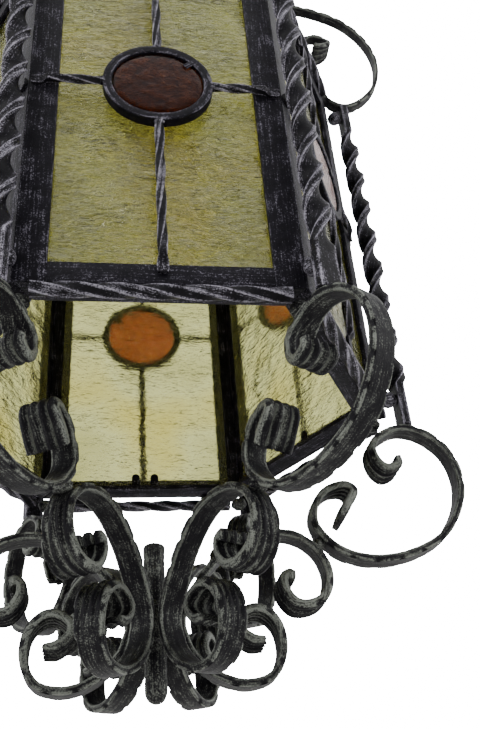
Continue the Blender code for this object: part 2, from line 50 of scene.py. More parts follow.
# ---------------------------------------------------------------------------------------------
# Studio. The lantern hangs over a pale floor in an even white room, with soft boxes on both
# sides, and is looked at from below.
BOX_SIDE = 0.175
EDGE_BAR = 0.0075
BAR_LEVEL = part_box("panel_frame_1")[0].z + EDGE_BAR * math.sqrt(0.5)
EYE_FROM_AXIS = Vector((-0.171, -3.1475, -1.7674)) * BOX_SIDE
LOOK_UP, LOOK_RIGHT, LOOK_ROLL = (math.radians(a) for a in (32.7047, 10.1598, -4.8048))
FLOOR_DROP = 0.9
LIGHT_AHEAD = 1.85
LIGHT_BEHIND = 0.3
BACKDROP = 30.0


def linear(code):
    """An sRGB hex colour as linear red, green, blue and alpha."""
    parts = [int(code[place : place + 2], 16) / 255 for place in (1, 3, 5)]
    return (*(p / 12.92 if p <= 0.04045 else ((p + 0.055) / 1.055) ** 2.4 for p in parts), 1)


def connect(material, source, made, socket):
    """Links an output to a node's socket."""
    material.node_tree.links.new(source, made.inputs[socket])


def add_node(material, kind, links=(), **settings):
    """Adds a node, sets its sockets or values by name, and links (socket, source) pairs to it."""
    made = material.node_tree.nodes.new(kind)
    for name, value in settings.items():
        socket = name.replace("_", " ")
        if hasattr(made, name):
            setattr(made, name, value)
        else:
            made.inputs[socket].default_value = value
    for socket, source in links:
        connect(material, source, made, socket)
    return made


def new_material(name):
    made = bpy.data.materials.new(name)
    made.use_nodes = True
    return made, made.node_tree.nodes["Principled BSDF"]


def ramp(material, source, stops):
    """A colour ramp node on a source, from (position, colour) stops, in hex or linear."""
    made = add_node(material, "ShaderNodeValToRGB", [("Fac", source)])
    elements = made.color_ramp.elements
    while len(elements) < len(stops):
        elements.new(0.5)
    for element, (place, colour) in zip(elements, stops):
        element.position = place
        element.color = linear(colour) if isinstance(colour, str) else colour
    return made.outputs["Color"]


right = Vector((math.cos(LOOK_RIGHT), -math.sin(LOOK_RIGHT), 0))
ahead = Vector((
    math.sin(LOOK_RIGHT) * math.cos(LOOK_UP),
    math.cos(LOOK_RIGHT) * math.cos(LOOK_UP),
    math.sin(LOOK_UP),
))
level_up = right.cross(ahead)
turned_right = math.cos(LOOK_ROLL) * right + math.sin(LOOK_ROLL) * level_up
turned_up = math.cos(LOOK_ROLL) * level_up - math.sin(LOOK_ROLL) * right
camera = bpy.data.objects.new("camera", bpy.data.cameras.new("camera"))
bpy.context.scene.collection.objects.link(camera)
camera.data.sensor_width = 36
camera.data.lens = 42.49
camera.data.clip_start = 0.01
placing = Matrix((turned_right, turned_up, -ahead)).transposed().to_4x4()
placing.translation = EYE_FROM_AXIS + Vector((0, 0, BAR_LEVEL))
camera.matrix_world = placing
bpy.context.scene.camera = camera

world = bpy.data.worlds.new("white_room")
world.use_nodes = True
room_light = world.node_tree.nodes["Background"]
room_light.inputs["Color"].default_value = (1, 1, 1, 1)
seen_straight = add_node(world, "ShaderNodeLightPath").outputs["Is Camera Ray"]
toward = add_node(world, "ShaderNodeTexCoord").outputs["Generated"]
facing = add_node(world, "ShaderNodeVectorMath", operation="DOT_PRODUCT", links=[(0, toward)])
facing.inputs[1].default_value = ahead
falling_off = add_node(
    world,
    "ShaderNodeMapRange",
    [("Value", facing.outputs["Value"])],
    interpolation_type="SMOOTHSTEP",
    From_Min=-0.75,
    From_Max=-0.05,
    To_Min=LIGHT_BEHIND,
    To_Max=LIGHT_AHEAD,
)
brightness = add_node(world, "ShaderNodeMapRange", [("Value", seen_straight)], To_Max=BACKDROP)
connect(world, falling_off.outputs["Result"], brightness, "To Min")
connect(world, brightness.outputs["Result"], room_light, "Strength")
bpy.context.scene.world = world

for name, place, size, power in (
    ("soft_box_left", (-1.5, -1.3, 0.4), 1.0, 30),
    ("soft_box_right", (1.7, -0.9, -0.2), 0.8, 18),
):
    lamp = bpy.data.objects.new(name, bpy.data.lights.new(name, "AREA"))
    bpy.context.scene.collection.objects.link(lamp)
    lamp.data.shape = "DISK"
    lamp.data.size = size
    lamp.data.energy = power
    lamp.location = place
    aim = Vector((0, 0, BAR_LEVEL + BOX_SIDE)) - Vector(place)
    lamp.rotation_euler = aim.to_track_quat("-Z", "Y").to_euler()

bpy.ops.mesh.primitive_plane_add(size=24, location=(0, 0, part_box("finial_rod")[0].z - FLOOR_DROP))
floor = bpy.context.object
floor.name = "floor"
floor_paint, shader = new_material("pale_floor")
shader.inputs["Base Color"].default_value = linear("#e9e8e5")
shader.inputs["Roughness"].default_value = 0.8
floor.data.materials.append(floor_paint)


# ---------------------------------------------------------------------------------------------
# Blackened iron. Mild steel, forged and left with its scale, blacked, then rubbed with silver on
# its high places and waxed. The point attribute "rubbed" is 1 on an arris and 0 in a hollow; on
# the fluted scroll curls it is also raised along the valleys between the lobes.
SPECKLE = 0.0009
SCALE_PATCH = 0.011
HAMMER_MARK = 0.012
BRUSH_LONG = 0.022
BRUSH_FINE = 0.0011


def noise_field(made, vector, size, detail=3.0, roughness=0.6):
    field = add_node(made, "ShaderNodeTexNoise", [("Vector", vector)], Scale=1 / size, Detail=detail)
    field.inputs["Roughness"].default_value = roughness
    return field.outputs["Fac"]


def weighted(made, parts):
    """The sum of (output, weight) pairs."""
    total = None
    for output, weight in parts:
        step = add_node(made, "ShaderNodeMath", operation="MULTIPLY_ADD", links=[(0, output)])
        step.inputs[1].default_value = weight
        step.inputs[2].default_value = 0
        if total is not None:
            connect(made, total, step, 2)
        total = step.outputs[0]
    return total


def blackened_iron(name, black, worn, silver, worn_at, silver_at, softness):
    """Black ground, patches where it has worn thin, and silver on the arrises and the grain."""
    made, shader = new_material(name)
    place = add_node(made, "ShaderNodeTexCoord").outputs["Object"]
    rubbed = add_node(made, "ShaderNodeAttribute", attribute_name="rubbed").outputs["Fac"]
    flow = add_node(made, "ShaderNodeAttribute", attribute_name="flow").outputs["Vector"]
    brushed = add_node(
        made, "ShaderNodeMapping", [("Vector", flow)], Scale=(BRUSH_FINE / BRUSH_LONG, 1, 1)
    ).outputs["Vector"]
    fine = noise_field(made, place, SPECKLE, 2.0, 0.7)
    patches = noise_field(made, place, SCALE_PATCH, 4.0)
    hammered = noise_field(made, place, HAMMER_MARK, 2.0)
    streaks = noise_field(made, brushed, BRUSH_FINE, 2.0)
    worn_sum = weighted(made, [(rubbed, 0.2), (patches, 0.7), (streaks, 0.3)])
    worn_mix = ramp(made, worn_sum, [(worn_at, (0, 0, 0, 1)), (worn_at + 0.25, (1, 1, 1, 1))])
    silver_sum = weighted(made, [(rubbed, 0.13), (patches, 0.22), (streaks, 0.27), (fine, 0.4)])
    flecks = ramp(made, silver_sum, [(silver_at, (0, 0, 0, 1)), (silver_at + softness, (1, 1, 1, 1))])
    ground = add_node(made, "ShaderNodeMix", data_type="RGBA")
    ground.inputs["A"].default_value = linear(black)
    ground.inputs["B"].default_value = linear(worn)
    connect(made, worn_mix, ground, "Factor")
    colour = add_node(made, "ShaderNodeMix", data_type="RGBA")
    colour.inputs["B"].default_value = linear(silver)
    connect(made, ground.outputs["Result"], colour, "A")
    connect(made, flecks, colour, "Factor")
    connect(made, colour.outputs["Result"], shader, "Base Color")
    sheen = add_node(made, "ShaderNodeMapRange", [("Value", flecks)], To_Min=0.0, To_Max=0.6)
    connect(made, sheen.outputs["Result"], shader, "Metallic")
    gloss = add_node(made, "ShaderNodeMapRange", [("Value", patches)], To_Min=0.42, To_Max=0.66)
    connect(made, gloss.outputs["Result"], shader, "Roughness")
    shader.inputs["Specular IOR Level"].default_value = 0.08
    grain = add_node(made, "ShaderNodeBump", [("Height", fine)], Strength=0.5, Distance=0.0005)
    dents = add_node(
        made,
        "ShaderNodeBump",
        [("Height", hammered), ("Normal", grain.outputs["Normal"])],
        Strength=0.5,
        Distance=0.0014,
    )
    connect(made, dents.outputs["Normal"], shader, "Normal")
    return made


frame_iron = blackened_iron("blackened_bar_iron", "#08070c", "#131118", "#6a6772", 0.50, 0.57, 0.08)
strip_iron = blackened_iron("blackened_strip_iron", "#0c0b0f", "#242425", "#666963", 0.52, 0.51, 0.10)
twist_iron = blackened_iron("rubbed_twist_iron", "#09080c", "#201e24", "#8a8792", 0.52, 0.515, 0.11)


def to_object(name, bm, material, smooth_angle=40):
    """A mesh object at the origin from a bmesh, smooth but for its sharp arrises."""
    mesh = bpy.data.meshes.new(name)
    bm.to_mesh(mesh)
    bm.free()
    mesh.materials.append(material)
    made = bpy.data.objects.new(name, mesh)
    bpy.context.scene.collection.objects.link(made)
    bpy.ops.object.select_all(action="DESELECT")
    made.select_set(True)
    bpy.context.view_layer.objects.active = made
    bpy.ops.object.shade_smooth_by_angle(angle=math.radians(smooth_angle))
    return made


def loft(name, rings, rubs, material, loop=False):
    """A skin over rings of points, ends capped or joined round, and how far each is rubbed."""
    bm = bmesh.new()
    layer = bm.verts.layers.float.new("rubbed")
    flow = bm.verts.layers.float_vector.new("flow")
    made = []
    along = 0.0
    for index, (ring, worn) in enumerate(zip(rings, rubs)):
        row = [bm.verts.new(point) for point in ring]
        middle = sum(ring, Vector()) / len(ring)
        along += (middle - before).length if index else 0.0
        before = middle
        girth = 0.0
        for at, (vert, value) in enumerate(zip(row, worn)):
            girth += (vert.co - row[at - 1].co).length if at else 0.0
            vert[layer] = value
            vert[flow] = Vector((along, girth, 0))
        made.append(row)
    count = len(made[0])
    following = made[1:] + made[:1] if loop else made[1:]
    for row, after in zip(made, following):
        for index in range(count):
            beside = (index + 1) % count
            bm.faces.new((row[index], row[beside], after[beside], after[index]))
    if not loop:
        for row in (made[0], made[-1]):
            middle = bm.verts.new(sum((vert.co for vert in row), Vector()) / count)
            middle[layer] = 0.3
            for index in range(count):
                bm.faces.new((row[index], row[(index + 1) % count], middle))
    bmesh.ops.recalc_face_normals(bm, faces=bm.faces)
    return to_object(name, bm, material)


def rub(obj, least=0.05, most=1.0):
    """Gives a modelled piece its rubbed attribute: high on convex arrises, low elsewhere."""
    bm = bmesh.new()
    bm.from_mesh(obj.data)
    layer = bm.verts.layers.float.get("rubbed") or bm.verts.layers.float.new("rubbed")
    flow = bm.verts.layers.float_vector.get("flow") or bm.verts.layers.float_vector.new("flow")
    spans = [max(v.co[axis] for v in bm.verts) - min(v.co[axis] for v in bm.verts) for axis in range(3)]
    longest = spans.index(max(spans))
    for vert in bm.verts:
        bend = max((edge.calc_face_angle_signed(0) for edge in vert.link_edges), default=0)
        vert[layer] = min(max(bend / math.radians(35), least), most)
        x, y, z = vert.co
        vert[flow] = ((x, y, z), (y, x, z), (z, x, y))[longest]
    bm.to_mesh(obj.data)
    bm.free()
    return obj


def joined(name, pieces):
    """Joins pieces of one iron body to a single object."""
    bpy.ops.object.select_all(action="DESELECT")
    for piece in pieces:
        piece.select_set(True)
    bpy.context.view_layer.objects.active = pieces[0]
    bpy.ops.object.join()
    pieces[0].name = name
    pieces[0].data.name = name
    return pieces[0]


def settle(obj):
    """Takes the object's own place into its mesh and applies its modifiers."""
    bpy.ops.object.select_all(action="DESELECT")
    obj.select_set(True)
    bpy.context.view_layer.objects.active = obj
    bpy.ops.object.transform_apply(location=True, rotation=True, scale=True)
    for modifier in list(obj.modifiers):
        bpy.ops.object.modifier_apply(modifier=modifier.name)
    return obj


def block(name, low, high, bevel, material):
    """A forged block between two corners, with its arrises eased."""
    bpy.ops.object.select_all(action="DESELECT")
    bpy.ops.mesh.primitive_cube_add(size=1, location=(Vector(low) + Vector(high)) / 2)
    made = bpy.context.object
    made.name = name
    made.scale = Vector(high) - Vector(low)
    settle(made)
    ease = made.modifiers.new("eased", "BEVEL")
    ease.width = bevel
    ease.segments = 2
    settle(made)
    made.data.materials.append(material)
    bpy.ops.object.shade_smooth_by_angle(angle=math.radians(30))
    return rub(made)


def weld(name, place, size, material, seed=0.0):
    """A blob of weld metal: a ball, flattened and made uneven."""
    bpy.ops.object.select_all(action="DESELECT")
    bpy.ops.mesh.primitive_ico_sphere_add(subdivisions=3, radius=1)
    made = bpy.context.object
    made.name = name
    for vert in made.data.vertices:
        uneven = 1 + 0.22 * noise.noise(vert.co * 1.7 + Vector((seed, 0, 0)))
        vert.co = Vector(place) + uneven * Vector(v * s for v, s in zip(vert.co, size))
    made.data.materials.append(material)
    bpy.ops.object.shade_smooth()
    bm = bmesh.new()
    bm.from_mesh(made.data)
    layer = bm.verts.layers.float.new("rubbed")
    flow = bm.verts.layers.float_vector.new("flow")
    for vert in bm.verts:
        vert[layer] = 0.55
        vert[flow] = vert.co
    bm.to_mesh(made.data)
    bm.free()
    return made


def around(original, name, nodes=(), first_turn=0):
    """Six copies of a piece about the axis, each with its own mesh, riding on the lantern."""
    copies = []
    for index in range(6):
        copy = original.copy()
        copy.data = original.data.copy()
        copy.name = f"{name}_{index + 1}"
        copy.data.name = copy.name
        bpy.context.scene.collection.objects.link(copy)
        copy.data.transform(Matrix.Rotation(math.radians(60) * (index + first_turn), 4, "Z"))
        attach(copy, "lantern")
        for node in nodes:
            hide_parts(f"{node}_{index + 1}")
        copies.append(copy)
    bpy.data.objects.remove(original)
    return copies


# ---------------------------------------------------------------------------------------------
# Scrolls. Flat bar, 16 x 5 mm below and 11 x 4 mm above, bent on its flat. Each curl is spread
# and fluted in a swage, its tip is lobed, and the outer arrises carry punched nicks.
SCROLL_T = 0.005
SCROLL_W = 0.016
SCROLL_FLARE = 0.028
CROWN_T = 0.004
CROWN_W = 0.011
CROWN_FLARE = 0.027
STRIP_STEP = 0.0019
ARRIS = 0.0009
FLUTE_DEPTH = 0.0030
NICK_SPACING = 0.017
NICK_HALF = 0.0026
NICK_DEPTH = 0.0010
BACK_R = 0.014156
SPINDLE_R = 0.0099
TOP_BAR_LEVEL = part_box("panel_frame_1")[1].z - EDGE_BAR * math.sqrt(0.5)
LOWER_PATTERN = (
    (1015, -195), (1012, -235), (960, -257), (920, -217), (914, -149), (960, -91), (1051, -51),
    (1154, -74), (1240, -154), (1274, -269), (1251, -400), (1160, -531), (1017, -606), (863, -629),
    (726, -592), (640, -500), (640, -411), (691, -343), (766, -320), (806, -349), (771, -411),
    (737, -469),
)
CENTRE_LOWER_PATTERN = (
    (394, -937), (343, -931), (297, -891), (297, -851), (349, -814), (406, -823), (451, -880),
    (457, -971), (411, -1051), (314, -1074), (211, -1040), (131, -965),
)
CENTRE_BACK_PATTERN = ((8, -900), (0, -860), (8, -815))
CENTRE_UPPER_PATTERN = (
    (143, -737), (223, -629), (331, -543), (446, -514), (554, -531), (629, -589), (663, -669),
    (651, -749), (600, -800), (526, -806), (480, -754), (480, -703), (514, -686), (509, -720),
)
CROWN_PATTERN = (
    (971, 414), (1006, 406), (1063, 446), (1074, 503), (1023, 549), (960, 543), (926, 474),
    (949, 394), (977, 257), (989, 114), (1011, 0), (1097, -51), (1194, -6), (1286, 103),
    (1337, 246), (1343, 411), (1291, 577), (1189, 709), (1046, 789), (874, 834), (686, 846),
    (503, 800), (331, 709), (194, 594), (103, 474),
)
CROWN_FOOT_PATTERN = ((7, 385), (0, 330))


def placed(pattern, out=0.0, level=0.0):
    return [Vector((out + r * BOX_SIDE / 1000, 0, level + z * BOX_SIDE / 1000)) for r, z in pattern]


def evenly(points, step):
    """A smooth curve through the points, as points about one step apart."""
    ends = [2 * points[0] - points[1], *points, 2 * points[-1] - points[-2]]
    fine = []
    for a, b, c, d in zip(ends, ends[1:], ends[2:], ends[3:]):
        for index in range(24):
            t = index / 24
            bend = (2 * a - 5 * b + 4 * c - d) * t**2 + (3 * b - a - 3 * c + d) * t**3
            fine.append((2 * b + (c - a) * t + bend) / 2)
    fine.append(points[-1])
    reach = [0.0]
    for a, b in zip(fine, fine[1:]):
        reach.append(reach[-1] + (b - a).length)
    count = round(reach[-1] / step)
    even, at = [], 0
    for index in range(count + 1):
        wanted = reach[-1] * index / count
        while reach[at + 1] < wanted and at < len(fine) - 2:
            at += 1
        part = (wanted - reach[at]) / (reach[at + 1] - reach[at])
        even.append(fine[at].lerp(fine[at + 1], part))
    return even


def section(half_width, half_thick):
    """One turn round the strip's section as (across, through, arris) with round arrises."""
    turn = [math.radians(a) for a in (0, 30, 60, 90)]
    flat, deep = half_width - ARRIS, half_thick - ARRIS
    loop = [(flat * (1 - 2 * i / 17), half_thick, 0) for i in range(1, 17)]
    loop += [(-flat - ARRIS * math.sin(a), deep + ARRIS * math.cos(a), 1) for a in turn]
    loop.append((-half_width, 0, 0))
    loop += [(-flat - ARRIS * math.cos(a), -deep - ARRIS * math.sin(a), 1) for a in turn]
    loop += [(flat * (2 * i / 17 - 1), -half_thick, 0) for i in range(1, 17)]
    loop += [(flat + ARRIS * math.sin(a), -deep - ARRIS * math.cos(a), 1) for a in turn]
    loop.append((half_width, 0, 0))
    loop += [(flat + ARRIS * math.cos(a), deep + ARRIS * math.sin(a), 1) for a in turn]
    return loop


def forged_scroll(name, points, outer, thick, width, flare, curl, lobes, ends=(1, 1)):
    """A strip along the points; outer is 1 or -1 for the side of the travel that is outside."""
    line = evenly(points, STRIP_STEP)
    length = STRIP_STEP * (len(line) - 1)
    rings, rubs = [], []
    for index, point in enumerate(line):
        along = STRIP_STEP * index
        heading = (line[min(index + 1, len(line) - 1)] - line[max(index - 1, 0)]).normalized()
        normal = outer * Vector((-heading.z, 0, heading.x))
        tip = min([along] * ends[0] + [length - along] * ends[1] + [curl])
        toward = -1 if along < length / 2 else 1
        spread = (1 + math.cos(math.pi * tip / curl)) / 2
        half = (width + (flare - width) * spread) / 2
        half *= 1 + 0.018 * noise.noise(point * 60)
        fluted = min(spread * 1.6, 1)
        thin = 0.62 + 0.38 * min(tip / (thick * 1.6), 1)
        ring, worn = [], []
        nick_at = (along + NICK_SPACING / 2) % NICK_SPACING - NICK_SPACING / 2
        nick = max(0.0, 1 - (abs(nick_at) / NICK_HALF) ** 4) if tip > curl * 0.35 or tip >= curl else 0.0
        for across, through, arris in section(half, thick / 2):
            lobe = abs(math.sin(math.pi * lobes * (across / half + 1) / 2))
            wave = (lobe - 0.8) * FLUTE_DEPTH * fluted * (1 if through > 0 else 0.5)
            dent = nick if arris and through > 0 else 0.0
            depth = through * thin + wave - dent * NICK_DEPTH * 0.6
            side = across - math.copysign(dent * NICK_DEPTH, across)
            uneven = 0.00018 * noise.noise(point * 140 + Vector((0, across * 300, through * 500)))
            push = heading * toward * (lobe - 0.8) * 0.0016 * max(0.0, 1 - tip / 0.006)
            ring.append(point + normal * (depth + uneven) + Vector((0, side, 0)) + push)
            # Raises the rubbed value along the flute valleys between the lobes, so these run lighter.
            flute_valley_lift = max(0.0, 0.65 - lobe) * 2.0 * fluted
            worn.append(max(0.0, arris * (1 - dent) * 0.95 + 0.22 * (1 - arris) + flute_valley_lift * (1 - arris)))
        rings.append(ring)
        rubs.append(worn)
    return loft(name, rings, rubs, strip_iron)


lower = forged_scroll(
    "lower", placed(LOWER_PATTERN, 0, BAR_LEVEL), 1, SCROLL_T, SCROLL_W, SCROLL_FLARE, 0.070, 4
)
around(lower, "lower_scroll", ["lower_scroll"])
centre_line = placed(CENTRE_LOWER_PATTERN, 0, BAR_LEVEL)
centre_line += placed(CENTRE_BACK_PATTERN, BACK_R + SCROLL_T / 2, BAR_LEVEL)
centre_line += placed(CENTRE_UPPER_PATTERN, 0, BAR_LEVEL)
centre = forged_scroll("centre", centre_line, 1, SCROLL_T, SCROLL_W, SCROLL_FLARE, 0.105, 4)
around(centre, "centre_scroll", ["centre_scroll"])
crown_line = placed(CROWN_PATTERN, 0, TOP_BAR_LEVEL)
crown_line += placed(CROWN_FOOT_PATTERN, SPINDLE_R + CROWN_T / 2, TOP_BAR_LEVEL)
crown = forged_scroll("crown", crown_line, -1, CROWN_T, CROWN_W, CROWN_FLARE, 0.045, 4, (1, 0))
around(crown, "crown_scroll", ["crown_scroll"])


# ---------------------------------------------------------------------------------------------
# Corner posts. Flat bar, 16 x 7 mm, twisted hot between plain ends, stood off each corner on two
# welded balls, and welded to the scrolls under and over it.
POST_WIDTH = 0.016
POST_THICKNESS = 0.007
POST_FLAT_END = 0.036
POST_TURNS = 4
BALL_R = 0.0065
BALL_FROM_END = 0.025
TWIST_STEP = 0.0014


def bar_ring(thickness, width, turn, ease=0.0007):
    """Section of a bar with eased arrises, as (x, y, rubbed), turned about its middle."""
    half_x, half_y = thickness / 2, width / 2
    side = [(half_x, y, worn) for y, worn in (
        (-half_y + ease * 2.4, 0.55), (-half_y * 0.5, 0.12), (0, 0.0),
        (half_y * 0.5, 0.12), (half_y - ease * 2.4, 0.55),
    )]
    corner = [
        (half_x, half_y - ease, 0.9),
        (half_x - ease * 0.3, half_y - ease * 0.3, 1.0),
        (half_x - ease, half_y, 0.9),
    ]
    top = [(x, half_y, worn) for x, worn in (
        (half_x - ease * 2.4, 0.6), (0, 0.25), (-half_x + ease * 2.4, 0.6)
    )]
    next_corner = [(-x, y, worn) for x, y, worn in reversed(corner)]
    half_turn = side + corner + top + next_corner
    loop = half_turn + [(-x, -y, worn) for x, y, worn in half_turn]
    cosine, sine = math.cos(turn), math.sin(turn)
    return [(x * cosine - y * sine, x * sine + y * cosine, worn) for x, y, worn in loop]


def twisted_bar(name, thickness, width, low, high, turns, plain=0.0):
    """A bar up Z, twisted right-handed between its plain ends."""
    rows = round((high - low) / TWIST_STEP)
    rings, rubs = [], []
    for row in range(rows + 1):
        z = low + (high - low) * row / rows
        part = min(max((z - low - plain) / (high - low - 2 * plain), 0), 1)
        full = 1 + 0.02 * noise.noise(Vector((width * 900, 0, z * 90)))
        loop = bar_ring(thickness * full, width * full, part * turns * math.tau)
        rings.append([Vector((x, y, z)) for x, y, worn in loop])
        rubs.append([worn for x, y, worn in loop])
    return loft(name, rings, rubs, twist_iron)


post_low, post_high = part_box("corner_post_1")
ball_r = BOX_SIDE + 0.0003 + BALL_R
post_r = ball_r + BALL_R - 0.0006 + POST_THICKNESS / 2
post = twisted_bar(
    "post", POST_THICKNESS, POST_WIDTH, post_low.z, post_high.z, POST_TURNS, POST_FLAT_END
)
post.data.transform(Matrix.Translation((post_r, 0, 0)))
pieces = [post]
for height in (post_low.z + BALL_FROM_END, post_high.z - BALL_FROM_END / 2):
    bpy.ops.object.select_all(action="DESELECT")
    bpy.ops.mesh.primitive_uv_sphere_add(
        segments=32, ring_count=16, radius=BALL_R, location=(ball_r, 0, height)
    )
    ball = settle(bpy.context.object)
    bpy.ops.object.shade_smooth()
    ball.data.materials.append(twist_iron)
    pieces.append(rub(ball, least=0.75))
    spot = (ball_r + BALL_R * 0.85, 0, height)
    pieces.append(weld("ball_weld", spot, (0.0025, 0.0042, 0.0042), twist_iron))
pieces.append(weld("foot", (post_r, 0, post_low.z + 0.001), (0.0055, 0.0090, 0.0026), twist_iron, 3))
pieces.append(weld("head", (post_r, 0, post_high.z - 0.001), (0.0052, 0.0084, 0.0024), twist_iron, 5))
around(joined("post", pieces), "corner_post", ["corner_post"])


# ---------------------------------------------------------------------------------------------
# Panel frames. Flat bar stiles lapped by angle rails, welded and filed, with a twisted bar stood
# off the lower and upper edge on small blocks. Each is built facing -Y.
APOTHEM = BOX_SIDE * math.cos(math.radians(30))
STILE = 0.0196
RAIL = 0.015
FRAME_T = 0.004
FRAME_DEPTH = 0.019
BLOCK_W = 0.012
BLOCK_FROM_CORNER = 0.036
EDGE_BAR_END = 0.011
frame_low = BAR_LEVEL + 0.007
frame_high = TOP_BAR_LEVEL - 0.007
disc_level = (frame_low + frame_high) / 2
front = -APOTHEM
half_side = BOX_SIDE / 2 - 0.0002


def mitred(obj, top_only=False):
    """Pulls the back corners of a bar in, so that six panels meet at 60 degree corners."""
    for vert in obj.data.vertices:
        behind = vert.co.y - front
        if abs(vert.co.x) > half_side - 0.003:
            vert.co.x = math.copysign(abs(vert.co.x) - behind * math.tan(math.radians(30)), vert.co.x)
    return obj


pieces = []
for side in (-1, 1):
    inner = side * (half_side - STILE)
    outer = side * half_side
    stile = block(
        "stile",
        (min(inner, outer), front, frame_low),
        (max(inner, outer), front + FRAME_T, frame_high),
        0.0006,
        frame_iron,
    )
    pieces.append(mitred(stile))
rail_reach = half_side - STILE + 0.0001
for low, high, leg_low, leg_high in (
    (frame_low, frame_low + RAIL, frame_low, frame_low + FRAME_T),
    (frame_high - RAIL, frame_high, frame_high - FRAME_T, frame_high),
):
    pieces.append(
        block("rail", (-rail_reach, front, low), (rail_reach, front + FRAME_T, high), 0.0006, frame_iron)
    )
    leg = block(
        "leg",
        (-half_side, front + FRAME_T - 0.0006, leg_low),
        (half_side, front + FRAME_DEPTH, leg_high),
        0.0006,
        frame_iron,
    )
    pieces.append(mitred(leg))
for level, edge in ((BAR_LEVEL, frame_low), (TOP_BAR_LEVEL, frame_high)):
    reach = BOX_SIDE / 2 - EDGE_BAR_END
    bar = twisted_bar("edge_bar", EDGE_BAR, EDGE_BAR, -reach, reach, 1.5)
    bar.data.transform(
        Matrix.Translation((0, front - 0.0014, level)) @ Matrix.Rotation(math.pi / 2, 4, "Y")
    )
    pieces.append(bar)
    for side in (-1, 1):
        near = side * (BOX_SIDE / 2 - BLOCK_FROM_CORNER)
        far = near + side * BLOCK_W
        low, high = sorted((level, edge))
        pieces.append(
            block(
                "spacer",
                (min(near, far), front + 0.0003, low - 0.001),
                (max(near, far), front + EDGE_BAR, high + 0.001),
                0.0007,
                frame_iron,
            )
        )
        for end in (near, far):
            bead = (end, front + 0.0022, (low + high) / 2)
            pieces.append(weld("bead", bead, (0.0016, 0.0022, 0.0036), frame_iron, end * 90))
    for side in (-1, 1):
        lap = side * (half_side - STILE)
        near_rail = edge + (RAIL / 2 if level < disc_level else -RAIL / 2)
        bead = (lap, front + FRAME_T, near_rail)
        pieces.append(weld("lap_bead", bead, (0.0012, 0.0012, RAIL * 0.46), frame_iron, lap * 50))
around(joined("frame", pieces), "panel_frame", ["panel_frame"])


# ---------------------------------------------------------------------------------------------
# Glass panes. Rolled yellow cathedral glass, 3 mm thick, rippled on both faces by the roller and
# full of drawn lines. It is clear enough to glow where the light comes through it.
PANE_T = 0.003
RIPPLE = 0.0075
FINE_RIPPLE = 0.0022
SWELL = 0.035
CLOUD = 1 / 9

glass, shader = new_material("yellow_cathedral_glass")
place = add_node(glass, "ShaderNodeTexCoord").outputs["Object"]
flat = add_node(glass, "ShaderNodeMapping", [("Vector", place)], Scale=(0.7, 0.7, 1.8))
ripples = add_node(
    glass,
    "ShaderNodeTexNoise",
    [("Vector", flat.outputs["Vector"])],
    Scale=1 / RIPPLE,
    Detail=3.0,
    Distortion=1.2,
).outputs["Fac"]
finer = add_node(
    glass, "ShaderNodeTexNoise", [("Vector", flat.outputs["Vector"])], Scale=1 / FINE_RIPPLE, Detail=2.0
).outputs["Fac"]
clouds = noise_field(glass, place, CLOUD, 2.0, 0.5)
tint = ramp(glass, clouds, [(0.32, "#a2a262"), (0.5, "#b9ba7c"), (0.68, "#b7ae54")])
connect(glass, tint, shader, "Base Color")
shader.inputs["Transmission Weight"].default_value = 0.98
shader.inputs["Roughness"].default_value = 0.07
shader.inputs["IOR"].default_value = 1.5
swells = noise_field(glass, place, SWELL, 2.0, 0.5)
swelling = add_node(glass, "ShaderNodeBump", [("Height", swells)], Strength=1.0, Distance=0.009)
broad = add_node(
    glass,
    "ShaderNodeBump",
    [("Height", ripples), ("Normal", swelling.outputs["Normal"])],
    Strength=0.8,
    Distance=0.0022,
)
close = add_node(
    glass,
    "ShaderNodeBump",
    [("Height", finer), ("Normal", broad.outputs["Normal"])],
    Strength=0.6,
    Distance=0.00045,
)
connect(glass, close.outputs["Normal"], shader, "Normal")

pane_low, pane_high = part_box("glass_pane_1")
bpy.ops.object.select_all(action="DESELECT")
bpy.ops.mesh.primitive_cube_add(size=1, location=(pane_low + pane_high) / 2)
pane = bpy.context.object
pane.scale = pane_high - pane_low
settle(pane)
ease = pane.modifiers.new("ground_edge", "BEVEL")
ease.width = 0.0004
settle(pane)
bpy.ops.object.mode_set(mode="EDIT")
bpy.ops.mesh.select_all(action="SELECT")
bpy.ops.mesh.subdivide(number_cuts=47)
bpy.ops.object.mode_set(mode="OBJECT")
for vert in pane.data.vertices:
    wave = noise.noise(Vector((vert.co.x * 90, 0, vert.co.z * 150)))
    vert.co.y += 0.00012 * wave if vert.co.y > pane_low.y + PANE_T / 2 else 0.0001 * abs(wave)
pane.data.materials.append(glass)
bpy.ops.object.shade_smooth_by_angle(angle=math.radians(40))
around(pane, "glass_pane", ["glass_pane"])


# ---------------------------------------------------------------------------------------------
# Grilles. A slice of steel tube held in front of the pane by four twisted bars, each welded to
# the ring and forged flat at its far end, where it laps onto the frame.
RING_R = 0.038
RING_WALL = 0.0063
RING_DEPTH = 0.008
RING_PROUD = 0.0065
CROSSBAR = 0.005
TAB_W = 0.0075
TAB_T = 0.0025
TAB_L = 0.012
TAB_INSET = 0.0015
bar_back = CROSSBAR * math.sqrt(0.5)
bar_y = front - 0.0003 - bar_back

